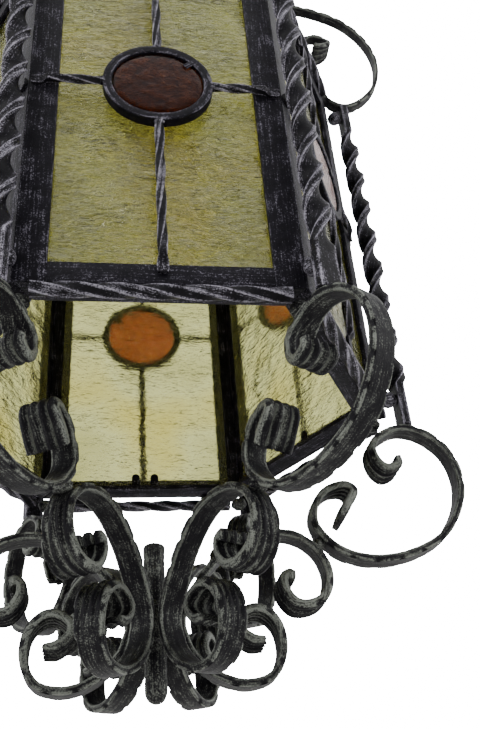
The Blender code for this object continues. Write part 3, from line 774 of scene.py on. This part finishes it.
tube = section(RING_DEPTH / 2, RING_WALL / 2)
rings, rubs = [], []
for step in range(96):
    angle = math.tau * step / 96
    out = Vector((math.cos(angle), 0, math.sin(angle)))
    middle = Vector((0, front - RING_PROUD + RING_DEPTH / 2, disc_level))
    uneven = 0.00015 * noise.noise(out * 4)
    rings.append([
        middle + out * (RING_R - RING_WALL / 2 + through + uneven) + Vector((0, across, 0))
        for across, through, arris in tube
    ])
    rubs.append([
        0.1 if across >= 0 else 0.95 if arris else 0.3 for across, through, arris in tube
    ])
pieces = [loft("tube_ring", rings, rubs, frame_iron, loop=True)]
frame_half = (frame_high - frame_low) / 2
for turn, reach, turns in (
    (0, frame_half - RAIL / 2, 1.0),
    (90, half_side + 0.0002 - TAB_INSET, 0.5),
    (180, frame_half - RAIL / 2, 1.0),
    (-90, half_side + 0.0002 - TAB_INSET, 0.5),
):
    start = RING_R - RING_WALL / 2
    stop = reach
    rows = round((stop - start) / TWIST_STEP)
    rings, rubs = [], []
    for row in range(rows + 1):
        z = start + (stop - start) * row / rows
        flat = min(max((z - (reach - TAB_L)) / 0.005, 0), 1)
        flat = flat * flat * (3 - 2 * flat)
        tip = max(0.0, 1 - (reach - z) / 0.002) ** 2
        part = min((z - start) / (reach - TAB_L - start), 1)
        loop = bar_ring(CROSSBAR, CROSSBAR, part * turns * math.tau, 0.0004)
        wide = 1 + flat * (TAB_W / CROSSBAR - 1) - 0.35 * tip
        thin = 1 + flat * (TAB_T / CROSSBAR - 1)
        shift = flat * (bar_back - TAB_T / 2)
        rings.append([Vector((x * wide, y * thin + shift, z)) for x, y, worn in loop])
        rubs.append([worn * (1 - 0.4 * flat) for x, y, worn in loop])
    bar = loft("crossbar", rings, rubs, twist_iron)
    bar.data.transform(
        Matrix.Translation((0, bar_y, disc_level)) @ Matrix.Rotation(math.radians(turn), 4, "Y")
    )
    pieces.append(bar)
    out = Matrix.Rotation(math.radians(turn), 3, "Y") @ Vector((0, 0, 1))
    place = out * (RING_R + 0.0004) + Vector((0, bar_y, disc_level))
    across = Vector((abs(out.z), 0, abs(out.x))) * 0.0036
    across += Vector((abs(out.x), 0, abs(out.z))) * 0.0022
    pieces.append(weld("ring_weld", place, (across.x, 0.0030, across.z), twist_iron, turn))
around(joined("grille", pieces), "grille", ["grille"])


# ---------------------------------------------------------------------------------------------
# Glass discs. Cast amber-brown glass, wavy and bubbled, set in the ring and held by a small bent
# steel tab at its edge. The point attribute "deep" is 1 on the front one, the disc that faces the
# camera, which is coloured a deeper brown than the rest as painted shade, not as a different glass.
DISC_T = 0.004
DISC_RECESS = 0.001
DISC_WAVE = 0.00018
MOTTLE = 0.006

amber, shader = new_material("cast_amber_glass")
place = add_node(amber, "ShaderNodeTexCoord").outputs["Object"]
mottle = add_node(
    amber, "ShaderNodeTexNoise", [("Vector", place)], Scale=1 / MOTTLE, Detail=4.0, Distortion=0.8
).outputs["Fac"]
tint = ramp(
    amber,
    mottle,
    [(0.32, "#8c3e2e"), (0.5, "#a25440"), (0.62, "#b8684c"), (0.75, "#8c4436")],
)
# Darker brown for the disc that faces the camera: painted shade on the same glass.
front_shade_tint = ramp(
    amber, mottle, [(0.4, "#54200c"), (0.55, "#7c3818"), (0.75, "#b0602c")]
)
front_shade_mix = add_node(amber, "ShaderNodeMix", data_type="RGBA")
deep = add_node(amber, "ShaderNodeAttribute", attribute_name="deep").outputs["Fac"]
connect(amber, deep, front_shade_mix, "Factor")
connect(amber, tint, front_shade_mix, "A")
connect(amber, front_shade_tint, front_shade_mix, "B")
connect(amber, front_shade_mix.outputs["Result"], shader, "Base Color")
shader.inputs["Transmission Weight"].default_value = 0.99
shader.inputs["Roughness"].default_value = 0.16
shader.inputs["Specular Tint"].default_value = linear("#281810")
shader.inputs["IOR"].default_value = 1.3
relief = add_node(amber, "ShaderNodeBump", [("Height", mottle)], Strength=0.6, Distance=0.0010)
connect(amber, relief.outputs["Normal"], shader, "Normal")

disc_r = RING_R - RING_WALL - 0.0003
disc_front = front - RING_PROUD + DISC_RECESS
profile = [(0.02, 0.0), (0.3, 0.0), (0.6, 0.0001), (0.85, 0.0003), (0.95, 0.0006), (1.0, 0.0014)]
outline = [(disc_r * share, disc_front + back) for share, back in profile]
outline += [(disc_r * share, disc_front + DISC_T - back) for share, back in reversed(profile)]
rings = []
for radius, y in outline:
    rings.append([])
    for step in range(72):
        angle = math.tau * step / 72
        x, z = radius * math.cos(angle), radius * math.sin(angle)
        wave = DISC_WAVE * noise.noise(Vector((x, 0, z)) * 160) if radius < disc_r * 0.9 else 0
        rings[-1].append(Vector((x, y + wave, z + disc_level)))
disc = loft("disc", rings, [[0] * 72] * len(rings), amber)
# The front disc, facing the camera, is given the darker brown as painted shade.
front_disc = around(disc, "disc_glass", ["disc_glass"])[0].data
front_shade_layer = front_disc.attributes.new("deep", "FLOAT", "POINT")
front_shade_layer.data.foreach_set("value", [1.0] * len(front_disc.vertices))

angle = math.radians(48)
tab = block("tab", (-0.0022, -0.0006, -0.004), (0.0022, 0.0006, 0.004), 0.0003, frame_iron)
tab_r = disc_r - 0.0018
spot = (math.sin(angle) * tab_r, disc_front - 0.0005, disc_level + math.cos(angle) * tab_r)
tab.data.transform(Matrix.Translation(spot) @ Matrix.Rotation(angle, 4, "Y"))
around(tab, "disc_tab")


# ---------------------------------------------------------------------------------------------
# Pane tabs. Small domed steel tabs inside each rail, two below and two above, that press the
# glass forward onto its frame.
PANE_TAB_W = 0.007
PANE_TAB_T = 0.0012
opening_low = frame_low + RAIL
pieces = []
for x in (-0.0094, 0.0069):
    for level, up in ((opening_low, 1), (frame_high - RAIL, -1)):
        y = pane_high.y + 0.0003
        foot = level - up * (RAIL - FRAME_T - 0.0005)
        low, high = sorted((foot, level + up * 0.001))
        pieces.append(
            block(
                "pane_tab",
                (x - PANE_TAB_W / 2, y, low),
                (x + PANE_TAB_W / 2, y + PANE_TAB_T, high),
                0.0003,
                frame_iron,
            )
        )
        bpy.ops.object.select_all(action="DESELECT")
        bpy.ops.mesh.primitive_uv_sphere_add(
            segments=24,
            ring_count=12,
            radius=PANE_TAB_W / 2,
            location=(x, y + PANE_TAB_T * 0.6, level + up * 0.001),
        )
        dome = bpy.context.object
        dome.scale.y = 0.3
        settle(dome)
        bpy.ops.object.shade_smooth()
        dome.data.materials.append(frame_iron)
        pieces.append(rub(dome, least=0.2))
around(joined("pane_tabs", pieces), "pane_tabs")


# ---------------------------------------------------------------------------------------------
# Turned and round pieces share one way of being made: an outline of (radius, height) swept round
# the axis, with a thread where one is asked for.
def turned(name, outline, material, steps=64, worn=0.3, pitch=0.0, depth=0.0, threaded=(0, 0)):
    rings = []
    for radius, z in outline:
        ring = []
        for step in range(steps):
            angle = math.tau * step / steps
            r = max(radius, 0.00005)
            if threaded[0] < z < threaded[1]:
                r += depth * math.cos(math.tau * z / pitch - angle)
            ring.append(Vector((r * math.cos(angle), r * math.sin(angle), z)))
        rings.append(ring)
    return loft(name, rings, [[worn] * steps] * len(rings), material)


def finer_outline(outline, step):
    """The same outline with points about one step apart along it."""
    fine = []
    for (r0, z0), (r1, z1) in zip(outline, outline[1:]):
        count = max(1, round(math.hypot(r1 - r0, z1 - z0) / step))
        fine += [(r0 + (r1 - r0) * i / count, z0 + (z1 - z0) * i / count) for i in range(count)]
    return [*fine, outline[-1]]


# Finial rod. A short piece of round bar, cropped above and rounded below, with the backs of the
# six centre scrolls welded to it in one rough nest of weld.
ROD_R = 0.007
rod_low, rod_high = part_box("finial_rod")
rod_outline = [(0, rod_high.z), (ROD_R * 0.86, rod_high.z), (ROD_R, rod_high.z - 0.0012)]
rod_outline += [(ROD_R, rod_low.z + ROD_R)]
rod_outline += [
    (ROD_R * math.cos(math.radians(a)), rod_low.z + ROD_R * (1 - math.sin(math.radians(a))))
    for a in (15, 30, 45, 60, 75, 88)
]
rod = turned("rod", finer_outline(rod_outline, 0.0015), strip_iron, 48, 0.5)
for vert in rod.data.vertices:
    vert.co += 0.0004 * noise.noise(vert.co * 220) * Vector((vert.co.x, vert.co.y, 0)).normalized()
pieces = [rod]
hub_level = BAR_LEVEL + CENTRE_BACK_PATTERN[1][1] / 1000 * BOX_SIDE
pieces.append(weld("nest", (0, 0, hub_level), (0.0128, 0.0128, 0.0135), strip_iron, 2))
for index in range(6):
    a = math.radians(60 * index + 30)
    spot = (0.0118 * math.cos(a), 0.0118 * math.sin(a), hub_level + 0.002 * math.sin(index * 2.1))
    pieces.append(weld("seam", spot, (0.0026, 0.0026, 0.0125), strip_iron, index * 3.3))
rod = joined("finial_rod_iron", pieces)
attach(rod, "lantern")
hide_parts("finial_rod")

# Welds where each lower scroll meets its centre scroll, and where it meets the frames' corner.
link = weld(
    "link", (0.1125, 0, BAR_LEVEL - 0.0975), (0.0042, 0.0068, 0.0042), strip_iron, 4
)
corner = weld("corner", (0.1655, 0, BAR_LEVEL - 0.0032), (0.0058, 0.0068, 0.0052), strip_iron, 7)
around(joined("scroll_welds", [link, corner]), "scroll_weld")


# ---------------------------------------------------------------------------------------------
# Roof, spindle, eye and ring. A shallow six-sided roof of the same glass under six flat hip bars
# and a collar, a turned spindle on it with a welded eye, and a loose forged ring.
ROOF_T = 0.003
ROOF_RISE = 0.044
ROOF_R = BOX_SIDE - 0.010
ROOF_HOLE_R = 0.012
HIP_W = 0.008
HIP_T = 0.004
COLLAR_R = 0.022
roof_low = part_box("roof_glass")[0]
run = ROOF_R - ROOF_HOLE_R
slope = math.atan2(ROOF_RISE, run)
bm = bmesh.new()
rows = []
for share in [i / 40 for i in range(41)]:
    radius = ROOF_R - run * share
    row = []
    for side in range(6):
        a, b = math.radians(60 * side), math.radians(60 * side + 60)
        corner, after = Vector((math.cos(a), math.sin(a), 0)), Vector((math.cos(b), math.sin(b), 0))
        for part in [i / 20 for i in range(20)]:
            point = corner.lerp(after, part) * radius
            wavy = 0.00016 * noise.noise(point * 110)
            height = roof_low.z + ROOF_RISE * share + 0.0001 + wavy
            row.append(bm.verts.new((point.x, point.y, height)))
    rows.append(row)
for row, after in zip(rows, rows[1:]):
    for index in range(len(row)):
        beside = (index + 1) % len(row)
        bm.faces.new((row[index], row[beside], after[beside], after[index]))
bmesh.ops.recalc_face_normals(bm, faces=bm.faces)
roof = to_object("roof_panes", bm, glass, 25)
if roof.data.polygons[0].normal.z < 0:
    roof.data.flip_normals()
sheet = roof.modifiers.new("sheet", "SOLIDIFY")
sheet.thickness = ROOF_T
sheet.offset = 1
settle(roof)
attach(roof, "lantern")
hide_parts("roof_glass")

collar_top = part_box("roof_frame")[1].z
glass_rise = ROOF_T * math.hypot(1, ROOF_RISE / run / math.cos(math.radians(30)))
inner, outer = COLLAR_R - HIP_T, ROOF_R - 0.004
middle = (inner + outer) / 2
length = (outer - inner) / math.cos(slope)
hip_z = roof_low.z + ROOF_RISE * (1 - (middle - ROOF_HOLE_R) / run) + glass_rise
hip_z += (0.0003 + HIP_T / 2) / math.cos(slope)
collar = [
    (0.0082, collar_top),
    (COLLAR_R - 0.0008, collar_top),
    (COLLAR_R, collar_top - 0.0008),
    (COLLAR_R, collar_top - 0.0052),
    (COLLAR_R - 0.0008, collar_top - 0.006),
    (0.0082, collar_top - 0.006),
    (0.0082, collar_top - 0.0001),
]
pieces = [turned("collar", finer_outline(collar, 0.002), frame_iron, 48, 0.35)]
for index in range(6):
    half = Vector((length, HIP_W, HIP_T)) / 2
    hip = block("hip", tuple(-half), tuple(half), 0.0006, frame_iron)
    turn = Matrix.Rotation(math.radians(60) * index, 4, "Z")
    hip.data.transform(turn @ Matrix.Translation((middle, 0, hip_z)) @ Matrix.Rotation(slope, 4, "Y"))
    pieces.append(hip)
    spot = turn @ Vector((COLLAR_R + 0.001, 0, collar_top - 0.0035))
    pieces.append(weld("hip_weld", spot, (0.003, 0.0042, 0.002), frame_iron, index * 2.3))
hips = joined("roof_bars", pieces)
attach(hips, "lantern")
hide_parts("roof_frame")

EYE_WIRE = 0.0042
EYE_R = 0.0105
SPINDLE_FLANGE = 0.021
spindle_low, spindle_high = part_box("crown_spindle")
neck = spindle_high.z - 2 * EYE_WIRE - 2 * EYE_R + EYE_WIRE
column = SPINDLE_R - 0.0003
outline = [
    (0.0001, neck),
    (column * 0.7, neck),
    (column * 0.98, neck - 0.003),
    (column, neck - 0.006),
    (column * 0.86, neck - 0.010),
    (column, neck - 0.014),
    (column, spindle_low.z + 0.012),
    (column * 1.25, spindle_low.z + 0.0075),
    (SPINDLE_FLANGE * 0.86, spindle_low.z + 0.0042),
    (SPINDLE_FLANGE, spindle_low.z + 0.0028),
    (SPINDLE_FLANGE, spindle_low.z),
    (0.0056, spindle_low.z),
    (0.0056, spindle_low.z + 0.036),
    (0.0001, spindle_low.z + 0.036),
]
pieces = [turned("column", finer_outline(outline, 0.002), frame_iron, 48, 0.25)]


def wire_ring(name, centre, radius, wire, axis_turn, material, worn):
    """A ring of round wire with a scarfed weld, turned from lying flat by axis_turn."""
    rings = []
    for step in range(72):
        angle = math.tau * step / 72
        out = Vector((math.cos(angle), math.sin(angle), 0))
        scarf = 1 + 0.03 * noise.noise(out * 3)
        rings.append([
            axis_turn
            @ (out * (radius + wire * scarf * math.cos(t)) + Vector((0, 0, wire * scarf * math.sin(t))))
            + Vector(centre)
            for t in (math.tau * i / 20 for i in range(20))
        ])
    return loft(name, rings, [[worn] * 20] * 72, material, loop=True)


eye_level = spindle_high.z - EYE_R - EYE_WIRE
upright = Matrix.Rotation(math.pi / 2, 3, "X")
eye_wire = EYE_WIRE * 0.98
pieces.append(wire_ring("eye", (0, 0, eye_level), EYE_R, eye_wire, upright, frame_iron, 0.5))
spot = (0, 0, eye_level - EYE_R - 0.001)
pieces.append(weld("eye_weld", spot, (0.0068, 0.0062, 0.0032), frame_iron, 6))
for index in range(6):
    a = math.radians(60 * index)
    spot = ((column + 0.002) * math.cos(a), (column + 0.002) * math.sin(a), spindle_low.z + 0.034)
    pieces.append(weld("foot_weld", spot, (0.0032, 0.0032, 0.0045), frame_iron, index * 1.7))
spindle = joined("crown_spindle_iron", pieces)
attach(spindle, "lantern")
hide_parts("crown_spindle")

ring_low, ring_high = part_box("hanging_ring")
RING_WIRE = 0.004
ring = wire_ring(
    "hanging_ring_iron",
    (0, 0, (ring_low.z + ring_high.z) / 2),
    (ring_high.y - ring_low.y) / 2 - RING_WIRE,
    RING_WIRE * 0.98,
    Matrix.Rotation(math.pi / 2, 3, "Y"),
    twist_iron,
    0.55,
)
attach(ring, "ring")
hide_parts("hanging_ring")


# ---------------------------------------------------------------------------------------------
# Lamp. A threaded steel nipple hangs the dark moulded holder, with its glazed porcelain insert,
# brass centre contact, and a screw bulb of faintly frosted glass.
BRUSH_LINE = 0.0008


def drawn_metal(name, dark, light, roughness):
    """Bright metal with fine turned lines round the axis."""
    made, shader = new_material(name)
    place = add_node(made, "ShaderNodeTexCoord").outputs["Object"]
    lines = add_node(made, "ShaderNodeMapping", [("Vector", place)], Scale=(30, 30, 1 / BRUSH_LINE))
    grain = add_node(
        made, "ShaderNodeTexNoise", [("Vector", lines.outputs["Vector"])], Scale=1.0, Detail=3.0
    ).outputs["Fac"]
    tint = ramp(made, grain, [(0.3, linear(dark)), (0.7, linear(light))])
    connect(made, tint, shader, "Base Color")
    shader.inputs["Metallic"].default_value = 1.0
    gloss = add_node(
        made, "ShaderNodeMapRange", [("Value", grain)], To_Min=roughness - 0.08, To_Max=roughness + 0.1
    )
    connect(made, gloss.outputs["Result"], shader, "Roughness")
    return made


zinc = drawn_metal("zinc_plated_steel", "#9b9c9a", "#c6c7c4", 0.34)
phenolic, shader = new_material("moulded_phenolic")
place = add_node(phenolic, "ShaderNodeTexCoord").outputs["Object"]
marbling = add_node(
    phenolic, "ShaderNodeTexNoise", [("Vector", place)], Scale=120.0, Detail=3.0, Distortion=1.5
).outputs["Fac"]
tint = ramp(phenolic, marbling, [(0.35, "#120c09"), (0.7, "#2a1a12")])
connect(phenolic, tint, shader, "Base Color")
shader.inputs["Roughness"].default_value = 0.28
brass = drawn_metal("rolled_brass", "#a98443", "#d3b06a", 0.3)
porcelain, shader = new_material("glazed_porcelain")
place = add_node(porcelain, "ShaderNodeTexCoord").outputs["Object"]
crackle = noise_field(porcelain, place, 1 / 180, 3.0, 0.5)
tint = ramp(porcelain, crackle, [(0.3, "#dedad0"), (0.7, "#efece4")])
connect(porcelain, tint, shader, "Base Color")
shader.inputs["Roughness"].default_value = 0.22
frosted, shader = new_material("frosted_bulb_glass")
place = add_node(frosted, "ShaderNodeTexCoord").outputs["Object"]
etch = noise_field(frosted, place, 1 / 900, 2.0, 0.5)
tint = ramp(frosted, etch, [(0.3, "#efece2"), (0.7, "#fbf9f2")])
connect(frosted, tint, shader, "Base Color")
shader.inputs["Transmission Weight"].default_value = 0.7
shader.inputs["Roughness"].default_value = 0.35

nipple_low, nipple_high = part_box("lamp_nipple")
outline = finer_outline(
    [
        (0.0034, nipple_high.z),
        (0.0047, nipple_high.z),
        (0.0047, nipple_low.z),
        (0.0034, nipple_low.z),
        (0.0034, nipple_high.z - 0.0001),
    ],
    0.00035,
)
nipple = turned(
    "nipple", outline, zinc, 32, 0, 0.001, 0.00022, (nipple_low.z + 0.0005, nipple_high.z - 0.0005)
)
holder_low, holder_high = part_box("lamp_holder")
r = holder_high.x
shoulder = holder_high.z - r * 0.35
outline = [
    (0.0053, holder_high.z),
    (r * 0.72, holder_high.z),
    (r * 0.90, holder_high.z - r * 0.10),
    (r * 0.985, shoulder + 0.001),
    (r * 0.985, shoulder - 0.004),
    (r * 0.94, shoulder - 0.0055),
    (r * 0.94, shoulder - 0.0070),
    (r * 0.985, shoulder - 0.0085),
    (r * 0.985, holder_low.z + 0.0030),
    (r, holder_low.z + 0.0018),
    (r, holder_low.z),
    (r - 0.0014, holder_low.z),
    (r - 0.0014, shoulder - 0.0006),
    (r * 0.73, holder_high.z - 0.0013),
    (0.0053, holder_high.z - 0.0013),
]
holder = turned("holder", finer_outline(outline, 0.0015), phenolic, 64, 0)
insert_low, insert_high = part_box("holder_insert")
r = insert_high.x
outline = [
    (0, insert_high.z),
    (r * 0.94, insert_high.z),
    (r, insert_high.z - 0.001),
    (r, insert_low.z + 0.001),
    (r - 0.0008, insert_low.z),
    (r - 0.0015, insert_low.z + 0.0004),
    (r - 0.0016, insert_low.z + 0.0054),
    (0, insert_low.z + 0.0054),
]
insert = turned("insert", finer_outline(outline, 0.002), porcelain, 48, 0)
for obj, name, slot in (
    (nipple, "lamp_nipple", "zinc_steel"),
    (holder, "lamp_holder", "dark_phenolic"),
    (insert, "holder_insert", "white_ceramic"),
):
    obj.name = name + "_piece"
    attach(obj, "lantern")
    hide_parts(name)

contact_low, contact_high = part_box("bulb_contact")
r = contact_high.x
outline = [
    (0, contact_high.z),
    (r * 0.95, contact_high.z),
    (r, contact_high.z - 0.0003),
    (r, contact_low.z + 0.0006),
    (r * 0.8, contact_low.z),
    (0, contact_low.z + 0.0002),
]
contact = turned("bulb_contact_piece", finer_outline(outline, 0.0008), brass, 48, 0)
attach(contact, "contact")
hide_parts("bulb_contact")

cap_low, cap_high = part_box("bulb_cap")
r = cap_high.x - 0.0005
outline = [
    (0, cap_high.z),
    (r * 0.34, cap_high.z),
    (r * 0.4, cap_high.z - 0.0012),
    (r * 0.92, cap_high.z - r * 0.28),
    (r, cap_high.z - r * 0.36),
    (r, cap_low.z + 0.002),
    (r * 0.97, cap_low.z),
    (r * 0.93, cap_low.z),
    (r * 0.93, cap_high.z - r * 0.45),
    (0, cap_high.z - r * 0.45),
]
cap = turned(
    "bulb_cap_piece",
    finer_outline(outline, 0.0006),
    brass,
    56,
    0,
    0.00363,
    0.00045,
    (cap_low.z + 0.003, cap_high.z - r * 0.36),
)
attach(cap, "bulb")
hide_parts("bulb_cap")

bulb_low, bulb_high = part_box("bulb_glass")
r = bulb_high.x
centre = bulb_low.z + r
neck_r = 0.0123
swell = [
    (r * math.cos(math.radians(a)), centre + r * math.sin(math.radians(a))) for a in range(36, -91, -6)
]
flare = []
for i in range(13):
    t = i / 12
    ease_in = t * t * (3 - 2 * t)
    flare.append((
        neck_r + (swell[0][0] - neck_r) * ease_in,
        bulb_high.z - 0.004 + (swell[0][1] - bulb_high.z + 0.004) * t,
    ))
outline = [(neck_r, bulb_high.z), *flare, *swell[1:-1], (0, bulb_low.z)]
inner = [(max(radius - 0.0011, 0), z + (0.0011 if z < centre else 0)) for radius, z in reversed(outline)]
bulb = turned("bulb_glass_piece", [*outline, *inner[:-1], (neck_r - 0.0011, bulb_high.z)], frosted, 64, 0)
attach(bulb, "bulb")
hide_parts("bulb_glass")
